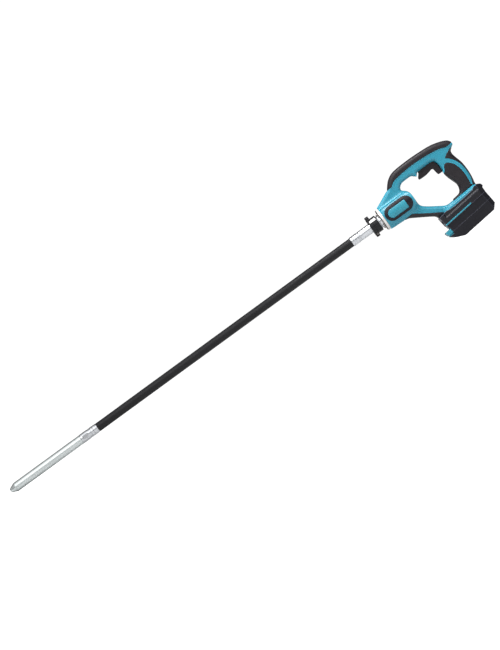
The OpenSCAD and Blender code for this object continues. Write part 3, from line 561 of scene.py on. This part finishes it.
outer = outline(smooth_curve(NOSE_TOP) + smooth_curve(GRIP_TOP) + smooth_curve(REAR_EDGE)
                + FOOT_INSIDE + smooth_curve(STRUT_UNDER))
window = outline(smooth_curve(WINDOW_TOP) + smooth_curve(WINDOW_TRIGGER)
                 + smooth_curve(WINDOW_REAR) + smooth_curve(WINDOW_FLOOR))
top_zone = outline(smooth_curve(GRIP_LINE) + [(270, 100), (40, 100)])
spine_zone = outline(smooth_curve(SPINE_TOP) + smooth_curve(SPINE_FRONT)
                     + [(262, -66), (262, 40)])
pad_zone = outline(smooth_curve(PAD_TOP) + PAD_FOOT)
strip_zone = outline(smooth_curve(STRIP_LINE) + STRIP_FOOT)
trigger_outline = outline(smooth_curve(TRIGGER_FRONT) + smooth_curve(TRIGGER_BACK, 4))


def bars(u, v):
    """The frame's bars in side view: its outline less the window."""
    return np.maximum(outer(u, v), -window(u, v))


# Half widths of the teal bars and of the rubber on them, and the bars' edge radius
FRAME_Y = 15.5
RUBBER_Y = 17.3
BAR_EDGE = 9.0
# The barrel widens from its front, and two raised lines run along its upper side
BARREL_FRONT, BARREL_REAR, BARREL_R = 8.6, 98.5, 31.5
BARREL_FRONT_R, BARREL_FLARE = 29.8, 0.27
BEADS = ((24.4, 19.9), (29.6, 10.8))
BEAD_R, BEAD_MIDDLE, BEAD_HALF = 2.5, 44, 33
# The barrel's rear end is domed in side view and full across
DOME = smooth_curve([(78, 31.5), (83, 29.7), (88, 26.6), (93, 21.8), (96.4, 15), (98.2, 7),
                     (98.5, 0)], 4)
BARREL_SIDE = outline([(0, -36), (0, 36), (74, 36)] + DOME
                      + [(u, -v) for u, v in reversed(DOME[:-1])] + [(74, -36)])
WALL = 4.7
# Half the seam between left and right pieces
SPLIT = 0.12
# How deep the rubber's bed is cut into the teal, and how deep the rubber reaches
BED_DEPTH, RUBBER_DEPTH = 1.9, 1.8

# The foot's top: its narrow middle, and its wider shoulders
DECK = outline([(-61.5, 17.6), (-61.5, 25.6), (-44, 27.2), (-40, 33.2), (-31, 39), (-21, 36.8),
                (-6, 36), (58, 32.5), (62, 28), (62, 17.6)])
SHOULDER = outline([(-61.5, 17.6), (-61.5, 25.6), (-44, 27.2), (-38, 29.6), (-20, 31.5),
                    (50, 29.5), (62, 26), (62, 17.6)])


def teal_body(u, v, y):
    """The whole teal moulding without its cuts."""
    x, z = foot(u, v)
    frame_part = rounded(bars(u, v), y, FRAME_Y, BAR_EDGE)
    barrel = smax(drum(u, v, y, BARREL_FRONT, BARREL_REAR, BARREL_R, 3), BARREL_SIDE(u, v), 3)
    barrel = smax(barrel, np.hypot(v, y) - BARREL_FRONT_R - BARREL_FLARE * (u - BARREL_FRONT), 2)
    for line_v, line_y in BEADS:
        bead = np.hypot(v - line_v, np.abs(y) - line_y) - BEAD_R
        bead = np.maximum(bead, np.abs(u - BEAD_MIDDLE) - BEAD_HALF)
        barrel = smin(barrel, bead, 0.5)
    deck = smin(rounded(DECK(x, z), y, 24, 6), rounded(SHOULDER(x, z), y, 33, 3), 3)
    return smin(smin(frame_part, barrel, 5), deck, 4)


def trigger_slot(u, v, y):
    """Room for the trigger over its whole travel."""
    reach = [trigger_outline(u - TRIGGER_DIR[0] * k, v - TRIGGER_DIR[1] * k)
             for k in (0, TRIGGER_TRAVEL / 2, TRIGGER_TRAVEL)]
    return np.maximum(np.minimum(np.minimum(reach[0], reach[1]), reach[2]) - SLOT_GAP,
                      np.abs(y) - SLOT_Y)


def housing(side):
    """One teal shell: the left one for side -1, the right one, with its screws, for 1."""

    def f(u, v, y):
        body = teal_body(u, v, y)
        zones = np.minimum(np.minimum(top_zone(u, v), spine_zone(u, v)),
                           np.minimum(pad_zone(u, v), strip_zone(u, v)))
        below = rounded(bars(u, v), y, FRAME_Y, BAR_EDGE) + BED_DEPTH
        bed = np.maximum(zones + 0.3, -below)
        shell = smax(body, -bed, 1.8)
        shell = np.maximum(shell, -(body + WALL))
        shell = np.maximum(shell, -trigger_slot(u, v, y))
        if side > 0:
            for su, sv in SCREWS:
                well = np.maximum(np.hypot(u - su, v - sv) - SCREW_WELL_R,
                                  SCREW_WELL_FLOOR - y)
                shell = smax(shell, -well, 0.8)
        return smax(shell, SPLIT - side * y, 0.5)

    return f


netted("shell_left", housing(-1), (8, -93, -34), (258, 86, 0), 0.9, "teal_plastic",
       "drive_unit", "housing_left")
netted("shell_right", housing(1), (8, -93, 0), (258, 86, 34), 0.9, "teal_plastic",
       "drive_unit", "housing_right")


def rubber(zone, split=True, edge=1.8):
    """Rubber over a zone of the frame, proud of the teal, on the left or across."""

    def f(u, v, y):
        skin = rounded(bars(u, v), y, RUBBER_Y, BAR_EDGE + 1.5)
        under = rounded(bars(u, v), y, FRAME_Y, BAR_EDGE) + RUBBER_DEPTH
        solid = np.maximum(smax(skin, zone(u, v), edge), -under)
        solid = np.maximum(solid, -trigger_slot(u, v, y))
        return smax(solid, SPLIT + y, 0.5) if split else solid

    return f


both_sides("top_grip", rubber(top_zone), (48, 50, -19), (259, 86, 0), 0.8, "grip_rubber",
           "top_grip")
both_sides("side_grip", rubber(pad_zone), (172, -69, -19), (239, 23, 0), 0.8, "grip_rubber",
           "side_grip")
both_sides("strut_strip", rubber(strip_zone), (44, -86, -19), (140, -30, 0), 0.8,
           "grip_rubber", "strut_strip")
netted("rear_spine_visual", rubber(spine_zone, False), (217, -69, -19), (256, 47, 19), 0.8,
       "grip_rubber", "drive_unit", "rear_spine")

# ---- Foot cover, stripe and battery ---------------------------------------------------------
COVER = outline([(-64, -8), (-64, 27.2), (-44, 28.8), (-39, 29.6), (-32, 26.4), (-12, 24.7),
                 (28, 24.7), (46, 25.2), (51, 29), (62, 29), (68, 25), (70.7, 22.4),
                 (71.8, 18.3), (71.3, 15), (68, 13), (66.5, 0.4), (66.5, -8)])
COVER_Y = 38.5
# The foot and the battery seen from above: their rear corners are cut back
PLAN = outline([(-90, -37.5), (-64, -38.9), (54.5, -38.9), (75, -27), (75, 27), (54.5, 38.9),
                (-64, 38.9), (-90, 37.5)])
PANEL_STEP = 3.4


def foot_cover(u, v, y):
    x, z = foot(u, v)
    # Above z = 15.4 the side is set back, apart from its two ends
    step = PANEL_STEP * np.clip((z - 15.4) / 3, 0, 1) * np.clip((x + 52) / 3, 0, 1) \
        * np.clip((58 - x) / 3, 0, 1)
    lower_edge = np.abs(y) - COVER_Y + step
    skirt = smax(COVER(x, z), lower_edge, 1.6)
    skirt = smax(smax(skirt, PLAN(x, np.abs(y)), 1.5), 0.1 - z, 0.4)
    tunnel = brick(x, y, z, (-70, -33.2, -5), (63, 33.2, 17.4))
    tunnel = np.minimum(tunnel, brick(x, y, z, (-61.7, -33.2, 17), (62.5, 33.2, 40)))
    skirt = np.maximum(skirt, -tunnel)
    rail = brick(x, np.abs(y), z, (-63.5, 25.6, 0.5), (63.5, 34, 4.9), 0.5)
    skirt = np.minimum(skirt, rail)
    # The groove that holds the stripe
    groove = np.maximum(np.abs(z - 2.6) - 1.9, x - 21.2)
    skirt = np.maximum(skirt, -np.maximum(groove, COVER_Y - 0.9 - np.abs(y)))
    return smax(skirt, SPLIT + y, 0.5)


both_sides("foot_cover", foot_cover, (118, -111, -40), (260, -60, 0), 0.9, "black_plastic",
           "foot_cover")


def stripe(u, v, y):
    x, z = foot(u, v)
    flat = np.hypot(np.maximum(x - 19, 0), z - 2.55) - 1.65
    flat = np.maximum(flat, -63.9 - x)
    return smax(smax(flat, np.abs(y) - 38.85, 0.8), 37.7 - np.abs(y), 0.3)


both_sides("accent_stripe", stripe, (118, -111, -39.5), (210, -90, -37), 0.5, "teal_accent",
           "accent_stripe")

# The battery in side view, the pocket for its button, and the button's two parts
CASE = outline([(-62.5, 9), (-62.5, -19.9), (-60.7, -20.1), (-60.7, -25.4), (-74.4, -25.4),
                (-64.8, -34.6), (-56.3, -40.2), (-42, -48), (-40, -48.3), (52, -48.3),
                (65.5, -36), (66.2, -20.1), (66.2, 9)])
SEAM_Z, SEAM_HALF = -20, 0.06
POCKET = outline([(-78, -24.9), (-60.7, -24.9), (-60.7, -30.6), (-65.8, -30.6),
                  (-67.8, -28.5), (-78, -28.5)])
BUTTON_PAD = outline([(-77.7, -13.2), (-75.5, -11.3), (-61, -11), (-61, -22), (-75.4, -22)])
BUTTON_FOOT = outline([(-74.3, -21), (-61, -21), (-61, -27), (-65.9, -27), (-67.6, -25.3),
                       (-73.3, -25.3)])
BUTTON_PAD_Y, BUTTON_FOOT_Y = 36.3, 33.2
BATTERY_Y = 37.5
BATTERY_WALL, CORNER_WALL = 2.2, 2.4
# How much narrower the battery is than the foot at the cut corners
INSET = 0.9


def battery_case(x, z, y):
    case = smax(CASE(x, z), np.abs(y) - BATTERY_Y, 2.6)
    case = smax(smax(case, PLAN(x, np.abs(y) + INSET), 0.4), z + 0.05, 0.4)
    # The side panel stands proud of the cut corner behind it
    return np.maximum(case, np.minimum(np.abs(y) - BATTERY_Y + INSET, 53.6 - x))


def hollow(x, z, y, low, high, r=0.0):
    """Room inside the battery, that keeps off its cut corners and its sloping bottom."""
    room = np.maximum(brick(x, y, z, low, high, r), CASE(x, z) + BATTERY_WALL)
    return np.maximum(room, PLAN(x, np.abs(y) + INSET) + CORNER_WALL)


def battery_upper(u, v, y):
    x, z = foot(u, v)
    case = smax(battery_case(x, z, y), SEAM_Z + SEAM_HALF - z, 0.3)
    rail = brick(x, y, z, (-62.5, -25.2, -3), (62, 25.2, 6), 0.4)
    rail = np.minimum(rail, brick(x, y, z, (-62.5, -30.2, 5.2), (62, 30.2, 10), 0.7))
    case = np.minimum(case, rail)
    slots = brick(x, np.abs(y), z, (-2, 10.4, 3.8), (63, 13.6, 11))
    case = np.maximum(case, -slots)
    # Room for the button and for its tooth
    case = np.maximum(case, -brick(x, y, z, (-70, -50, -30), (-60.7, 50, -8)))
    case = np.maximum(case, -brick(x, y, z, (-64, -8.3, -12), (-60.7, 8.3, 11)))
    inside = hollow(x, z, y, (-57.5, -35.1, -25), (63.8, 35.1, -2.4))
    return np.maximum(case, -inside)


def battery_lower(u, v, y):
    x, z = foot(u, v)
    case = smax(battery_case(x, z, y), z - SEAM_Z + SEAM_HALF, 0.3)
    pocket = np.maximum(POCKET(x, z), np.abs(y) - BUTTON_FOOT_Y - 0.3)
    case = np.maximum(case, -pocket)
    inside = hollow(x, z, y, (-50, -35.1, -45.8), (63.5, 35.1, -14), 3)
    # Its front slopes, to leave a wall behind the button's pocket
    inside = np.maximum(inside, -1.3 * x - z - 104)
    return np.maximum(case, -inside)


def battery_button(u, v, y):
    x, z = foot(u, v)
    pad = smax(BUTTON_PAD(x, z), np.abs(y) - BUTTON_PAD_Y, 1.4)
    # Grooves for the thumb, across the front face
    face_x = -77.7 - 0.26 * (z + 13.2)
    groove = np.maximum(np.abs(np.mod(z + 1.1, 2.4) - 1.2) - 0.5, x - face_x - 0.9)
    pad = smax(pad, -np.maximum(groove, np.abs(y) - 28), 0.3)
    leg = smax(BUTTON_FOOT(x, z), np.abs(y) - BUTTON_FOOT_Y, 0.8)
    tooth = brick(x, y, z, (-62.4, -8, -12), (-61, 8, 8), 0.3)
    return np.minimum(np.minimum(pad, leg), tooth)


netted("battery_upper_visual", battery_upper, (118, -130, -38.5), (256, -82, 38.5), 1.0,
       "battery_plastic", "battery", "battery_case_upper")
netted("battery_lower_visual", battery_lower, (106, -157, -38.5), (257, -105, 38.5), 0.9,
       "battery_plastic", "battery", "battery_case_lower")
netted("button_visual", battery_button, (104, -136, -38), (130, -95, 38), 0.7,
       "teal_accent", "release_button", "battery_button")

# ---- Trigger --------------------------------------------------------------------------------


def trigger(u, v, y):
    # A shallow hollow for the finger
    dish = 0.9 * np.exp(-(y / 3.5) ** 2)
    return rounded(trigger_outline(u, v) + dish * (v < 44), y, 7, 3.2)


netted("trigger_visual", trigger, (134, 7, -7.5), (199, 52, 7.5), 0.6,
       "trigger_plastic", "trigger", "trigger")

# ---- Badge and plate on the barrel ----------------------------------------------------------


PLATE_U, PLATE_END, PLATE_V, PLATE_R = 32.5, 74.5, -1.5, 11.5
BADGE_U, BADGE_END, BADGE_V, BADGE_R = 32, 72, -0.5, 20
BADGE_THICK, PLATE_THICK = 1.15, 0.7


def plate_2d(u, v):
    """The plate laid flat: round in front, square behind."""
    bar = np.maximum(np.abs(v - PLATE_V) - PLATE_R, np.maximum(PLATE_U - u, u - PLATE_END))
    return np.minimum(np.hypot(u - PLATE_U, v - PLATE_V) - PLATE_R, bar)


def on_barrel(flat, lift, edge):
    """A flat shape laid on the barrel's left side, lift proud of it."""

    def f(u, v, y):
        tall = np.hypot(v, y)
        skin = smax(tall - BARREL_R - lift, flat(u, v), edge)
        return np.maximum(np.maximum(skin, BARREL_R - 1.2 - tall), y + 5)

    return f


def badge_2d(u, v):
    stadium = np.hypot(u - np.clip(u, BADGE_U, BADGE_END), v - BADGE_V) - BADGE_R
    return np.maximum(stadium, -(plate_2d(u, v) - 0.4))


both_sides("badge_ring", on_barrel(badge_2d, BADGE_THICK, 1.6), (11, -22, -33.5),
           (93, 21, -20), 0.6, "badge_plastic", "badge_ring")
both_sides("name_plate", on_barrel(plate_2d, PLATE_THICK, 1.0), (20, -14, -33.5),
           (75.5, 11, -25), 0.6, "teal_accent", "name_plate")

# ---- Turned pieces of the front end ---------------------------------------------------------
flange = lathe(soften([(0.2, 7), (0.0, 21.9), (1.9, 21.9), (1.9, 29.4), (2.4, 30), (8.2, 30),
                       (8.45, 29.4), (8.45, 11.1), (1.6, 11.1), (1.6, 7)], 0.4), seg=128)
piece("flange_visual", *flange, "cast_aluminium", "drive_unit", "front_flange")
# A dark ring on its front edge: painted shade, standing in for the front chamfer in shadow
shade_ring = lathe(soften([(0.1, 22), (0.1, 28), (0.5, 28.6), (1.8, 28.6), (1.8, 22)], 0.3), seg=128)
piece("flange_shade_ring_visual", *shade_ring, "dark_steel", "drive_unit")
neck = lathe(soften([(-30, 12.9), (-30, 17.2), (-8.6, 17.2), (-8.2, 16.4), (-6.4, 16.4),
                     (-6, 17.4), (-0.3, 17.4), (-0.1, 17), (-0.1, 6.2), (-12.9, 6.2),
                     (-12.9, 12.9)], 0.4))
piece("neck_visual", *neck, "satin_steel", "drive_unit", "neck")


def collar(u, v, y):
    tall = np.hypot(v, y)
    ear = np.hypot(y, np.maximum(v - 24, 0) + np.minimum(v - 18, 0)) - 6
    ear = smax(ear, np.abs(u + 27.5) - 5, 1)
    lug = brick(u, y, v, (-32.2, -8, -28), (-22.5, 8, -16), 1.2)
    ring = np.minimum(drum(u, v, y, -29.6, -8, 21.5, 1.2), drum(u, v, y, -32.5, -22.5, 22.5, 1.2))
    ring = smin(smin(ring, ear, 2), lug, 2)
    bolt = np.hypot(u + 26.5, v + 22)
    holes = (np.maximum(tall - 17.5, -30 - u), tall - 12.8, bolt - 2.6,
             np.maximum(bolt - 3.5, 8 - np.abs(y)), np.maximum(np.abs(y) - 0.8, v + 15.4))
    for hole in holes:
        ring = np.maximum(ring, -hole)
    # The eye for a strap, and the openings on both sides
    ring = smax(ring, 2.4 - np.hypot(v - 25, y), 0.6)
    return smax(ring, -brick(u, v, 0 * y, (-28.5, 10.6, -1), (-10.5, 18, 1)), 0.8)


netted("collar_visual", collar, (-33, -29, -23), (-7, 31, 23), 0.6, "collar_plastic",
       "drive_unit", "hanger_collar")


def collar_band(u, v, y):
    """Metal band that shows in the collar's openings."""
    ring = np.abs(np.hypot(v, y) - 18.7) - 1.1
    return smax(ring, brick(u, v, 0 * y, (-28.7, 10.3, -1), (-10.3, 18.2, 1)), 0.4)


netted("collar_band_visual", collar_band, (-30, 9, -21), (-9, 20, 21), 0.5, "cast_aluminium",
       "drive_unit")

tube = lathe(soften([(-71.9, 8.2), (-71.9, 12.4), (-69, 12.4), (-68.7, 11.9), (-67.8, 11.9),
                     (-67.5, 12.7), (-66.4, 12.7), (-66.1, 12), (-65.2, 12), (-64.9, 12.7),
                     (-13, 12.7), (-12.3, 12.2), (-12.3, 8.2)], 0.35))
piece("tube_visual", *tube, "satin_steel", "drive_unit", "coupling_tube")
ferrule = lathe(soften([(-91.9, 11.6), (-91.9, 12.6), (-91.2, 13), (-87.4, 13), (-87, 12.3),
                        (-85.2, 12.3), (-84.8, 13), (-80.4, 13), (-80, 12.3), (-78.2, 12.3),
                        (-77.8, 13), (-72.6, 13), (-72, 12.4), (-72, 8.2), (-77.8, 8.2),
                        (-77.8, 11.6)], 0.35))
piece("ferrule_visual", *ferrule, "satin_steel", "drive_unit", "upper_ferrule")

# ---- Hose: three lengths, each spanning one joint -------------------------------------------
HOSE_TOP, HOSE_END = -92, -878
HOSE_R, HOSE_BORE = 11.5, 7.6
HOSE_SKIN = HOSE_R - 0.02
# Inside the lower ferrule the hose is pressed together
PRESSED = (HOSE_R - 1.6) / HOSE_R
# Rings along the hose, and one close to each end, where two lengths meet
RING_GAP, END_RING = 3.5, 0.15
cuts = [HOSE_TOP + 12, HOSE_TOP - 1.5 * SECTION, HOSE_TOP - 2.5 * SECTION, HOSE_END - 9]
stands_for = [("hose_1",), ("hose_2", "hose_3"), ("hose_4",)]
for k, name in enumerate(("hose_upper", "hose_middle", "hose_lower")):
    top, bottom = cuts[k], cuts[k + 1]
    tube_points, tube_faces = lathe(
        [(bottom, HOSE_BORE), (top, HOSE_BORE), (top, HOSE_SKIN), (top - END_RING, HOSE_SKIN),
         (bottom + END_RING, HOSE_SKIN), (bottom, HOSE_SKIN)], seg=64, reach=RING_GAP)
    grip = (tube_points[:, 0] < HOSE_END) & (np.hypot(*tube_points[:, 1:].T) > HOSE_R - 1)
    tube_points[grip, 1:] *= PRESSED
    hose = piece(name, tube_points, [f[::-1] for f in tube_faces], "hose_rubber", None)
    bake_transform(hose)
    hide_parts(*stands_for[k])

# ---- Vibrating head -------------------------------------------------------------------------
FLAT_U, FLAT_Y = (-922, -907), 10.9


def wrench_flats(points):
    """Two flats for a wrench, milled on the sides of the connector."""
    on = (points[:, 0] > FLAT_U[0]) & (points[:, 0] < FLAT_U[1])
    points[on, 2] = np.clip(points[on, 2], -FLAT_Y, FLAT_Y)
    return points


lower_ferrule = lathe(soften([(-889.9, 6.5), (-889.9, 11.9), (-889.2, 12.2), (-882.6, 12.2),
                              (-882.2, 11.7), (-881.2, 11.7), (-880.8, 12.2), (-878.6, 12.2),
                              (-878.1, 11.8), (-878.1, 10.2), (-888.6, 10.2), (-888.6, 6.5)],
                             0.35))
piece("lower_ferrule_visual", *lower_ferrule, "satin_steel", "vibrating_head", "lower_ferrule")
connector = lathe(soften([(-927.9, 6.5), (-927.9, 11.9), (-927.2, 12.3), (-904.3, 12.3),
                          (-903.6, 11.6), (-901.2, 11.6), (-900.6, 12.3), (-898.2, 12.3),
                          (-897.8, 11.3), (-896.6, 11.3), (-896.2, 12.3), (-890.7, 12.3),
                          (-890.1, 11.9), (-890.1, 6.5)], 0.35), reach=1.2,
                  shape=wrench_flats)
piece("connector_visual", *connector, "satin_steel", "vibrating_head", "head_connector")
tube_profile = soften([(-1129.9, 10.1), (-1129.9, 12), (-943.2, 12), (-942.8, 11.6),
                       (-941.8, 11.6), (-941.4, 11.85), (-928.6, 11.85), (-928.1, 11.5),
                       (-928.1, 10.1)], 0.3)
piece("head_tube_visual", *lathe(tube_profile), "worn_steel", "vibrating_head", "head_tube")
nose = soften([(-1121, 9.8), (-1130.1, 9.8), (-1130.1, 11.98), (-1132, 11.4), (-1136.5, 9.5),
               (-1145.6, 5.4), (-1146.9, 4.2), (-1147, 0.3)], 0.8, 4)
piece("nose_visual", *lathe(nose, closed=False), "worn_steel", "vibrating_head", "nose_cap")

# ---- CAD pieces that stay -------------------------------------------------------------------
for name, node in frame["nodes"].items():
    node.data.materials.clear()
    node.data.materials.append(MATERIALS[slot_of[name]])
for name in ("housing_screws", "flange_screws", "collar_bolt"):
    bevel = frame["nodes"][name].modifiers.new("edge", "BEVEL")
    bevel.width = 0.0003
    bevel.segments = 2
    bevel.limit_method = "ANGLE"

# ---- Floor and light ------------------------------------------------------------------------
FLOOR_HALF, FLOOR_GAP = 40, 0.0004
floor_mesh = bpy.data.meshes.new("floor")
floor_mesh.from_pydata([(x, y, 0) for x, y in ((-1, -1), (1, -1), (1, 1), (-1, 1))], [],
                       [(0, 1, 2, 3)])
floor_mesh.transform(Matrix.Scale(FLOOR_HALF, 4))
floor = bpy.data.objects.new("floor", floor_mesh)
floor.location.z = cad_box[0].z - FLOOR_GAP
bpy.context.scene.collection.objects.link(floor)
ground = Nodes("ground")
ground.link(ground.mix(ground.noise(3, 3), (0.5, 0.5, 0.5), (0.54, 0.54, 0.54)),
            ground.bsdf.inputs["Base Color"])
ground.bsdf.inputs["Roughness"].default_value = 0.9
ground.bsdf.inputs["Emission Color"].default_value = (1, 1, 1, 1)
seen = ground.add("ShaderNodeLightPath").outputs["Is Camera Ray"]
ground.link(ground.remap(seen, 0.05, 0.85, 0, 1), ground.bsdf.inputs["Emission Strength"])
floor_mesh.materials.append(ground.mat)

# A white room: brightest above the front of the tool, dimmer behind it and near the floor
world = bpy.data.worlds.new("studio")
bpy.context.scene.world = world
world.use_nodes = True
tree = world.node_tree
sky = tree.nodes["Background"]


def ramp(value, low, high, from_low, from_high):
    """Value carried smoothly from one range to another, whose ends may be sockets."""
    node = tree.nodes.new("ShaderNodeMapRange")
    node.interpolation_type = "SMOOTHSTEP"
    tree.links.new(value, node.inputs["Value"])
    for key, number in (("From Min", from_low), ("From Max", from_high),
                        ("To Min", low), ("To Max", high)):
        if isinstance(number, (int, float)):
            node.inputs[key].default_value = number
        else:
            tree.links.new(number, node.inputs[key])
    return node.outputs["Result"]


GLOW_TILT = math.radians(54)
glow = tree.nodes.new("ShaderNodeVectorMath")
glow.operation = "DOT_PRODUCT"
tree.links.new(tree.nodes.new("ShaderNodeTexCoord").outputs["Generated"], glow.inputs[0])
glow.inputs[1].default_value = back * math.cos(GLOW_TILT) + axis_v * math.sin(GLOW_TILT)
room = ramp(glow.outputs["Value"], 0.22, 1.1, 0.58, 0.9)
seen = tree.nodes.new("ShaderNodeLightPath").outputs["Is Camera Ray"]
tree.links.new(ramp(seen, room, 1.05, 0, 1), sky.inputs["Strength"])
sky.inputs["Color"].default_value = (1, 1, 1, 1)


def lamp(name, place, target, width, height, power, glossy=True):
    light = bpy.data.lights.new(name, "AREA")
    light.shape = "RECTANGLE"
    light.size, light.size_y, light.energy = width, height, power
    obj = bpy.data.objects.new(name, light)
    obj.location = place
    obj.visible_camera = False
    obj.visible_glossy = glossy
    obj.rotation_euler = (target - place).to_track_quat("-Z", "Y").to_euler()
    bpy.context.scene.collection.objects.link(obj)


middle = at(-300)
lamp("overhead", middle + axis_v * 1.6 + back * 0.2, middle, 3.0, 0.8, 36, glossy=False)
lamp("front", middle + axis_v * 1.1 + back * 1.4, middle, 3.0, 1.0, 9)
lamp("over_handle", at(110) + axis_v * 1.0 + back * 0.35, at(130), 0.5, 0.15, 5)

bpy.context.scene.view_settings.view_transform = "Standard"
